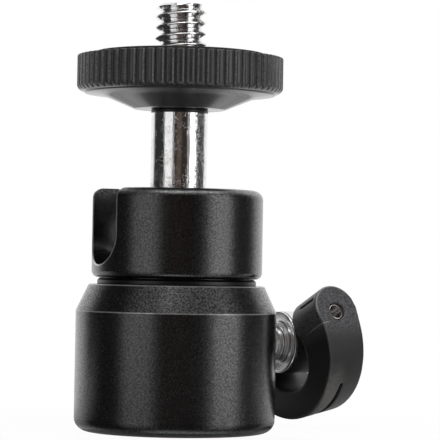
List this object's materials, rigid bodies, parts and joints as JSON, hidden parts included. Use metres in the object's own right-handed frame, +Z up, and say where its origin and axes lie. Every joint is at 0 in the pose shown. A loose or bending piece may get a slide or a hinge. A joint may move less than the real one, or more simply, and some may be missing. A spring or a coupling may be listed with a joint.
{
  "type": "tripod ball head",
  "caption": "Small tripod ball head with a notched collar, a knurled disc on its camera stud and a lock screw with a folding D handle.",
  "frame": {"origin": "centre of the body's bottom face, at the mouth of the base thread", "axes": "+Z up along the body, the stem and the camera stud; +X along the lock screw; the collar's notch opens 8 degrees past -X, towards +Y"},
  "size_m": [0.0346, 0.0246, 0.0511],
  "materials": {
    "black_anodised": "satin black anodised",
    "black_plastic": "satin moulded black plastic",
    "dark_nylon": "matte dark nylon",
    "pad": "matte dark pad",
    "chrome": "bright chrome",
    "steel": "turned steel",
    "spring_steel": "dark spring steel",
    "brass": "turned brass",
    "pom": "natural acetal"
  },
  "bodies": {
    "body": {"body_shell": "black_anodised", "base_insert": "steel", "lock_bush": "brass", "collar_washer": "dark_nylon", "collar_clip": "spring_steel"},
    "collar": {"collar": "black_anodised", "seat_ring": "pom"},
    "head": {"ball_stem": "chrome", "stem_washer": "dark_nylon"},
    "disc_carrier": {"disc_bush": "brass"},
    "disc": {"disc": "black_plastic", "disc_pad": "pad"},
    "wedge": {"wedge": "steel", "nose_clip": "spring_steel"},
    "lock_screw": {"lock_screw": "chrome", "lock_pin": "steel", "pivot_washers": "steel"},
    "handle": {"handle": "black_plastic"},
    "cup": {"ball_cup": "pom", "lifter": "steel", "cup_spring": "spring_steel"}
  },
  "joints": [
    {"name": "collar_turn", "type": "hinge", "parent": "body", "child": "collar", "pos_m": [0, 0, 0.0234], "axis": [0, 0, 1], "continuous": true},
    {"name": "head_tilt", "type": "hinge", "parent": "collar", "child": "head", "pos_m": [0, 0, 0.0234], "axis": [0.1392, 0.9903, 0], "range_deg": [-90, 28]},
    {"name": "disc_rise", "type": "slide", "parent": "head", "child": "disc_carrier", "axis": [0, 0, 1], "range_m": [0, 0.00254]},
    {"name": "disc_turn", "type": "hinge", "parent": "disc_carrier", "child": "disc", "pos_m": [0, 0, 0.0385], "axis": [0, 0, 1], "range_deg": [0, 720]},
    {"name": "wedge_slide", "type": "slide", "parent": "body", "child": "wedge", "axis": [1, 0, 0], "range_m": [0, 0.0012]},
    {"name": "lock_turn", "type": "hinge", "parent": "wedge", "child": "lock_screw", "pos_m": [0.01735, 0, 0.0106], "axis": [1, 0, 0], "range_deg": [0, 540]},
    {"name": "cup_rise", "type": "slide", "parent": "body", "child": "cup", "axis": [0, 0, 1], "range_m": [-0.0007, 0]},
    {"name": "handle_swing", "type": "hinge", "parent": "lock_screw", "child": "handle", "pos_m": [0.01735, 0, 0.0106], "axis": [0, -0.9063, 0.4226], "range_deg": [-24, 180]}
  ],
  "couplings": [
    {"joint": "disc_rise", "follows": "disc_turn", "m_per_rad": 0.00020213},
    {"joint": "wedge_slide", "follows": "lock_turn", "m_per_rad": 0.00012732},
    {"joint": "cup_rise", "follows": "lock_turn", "m_per_rad": -0.000073511}
  ]
}
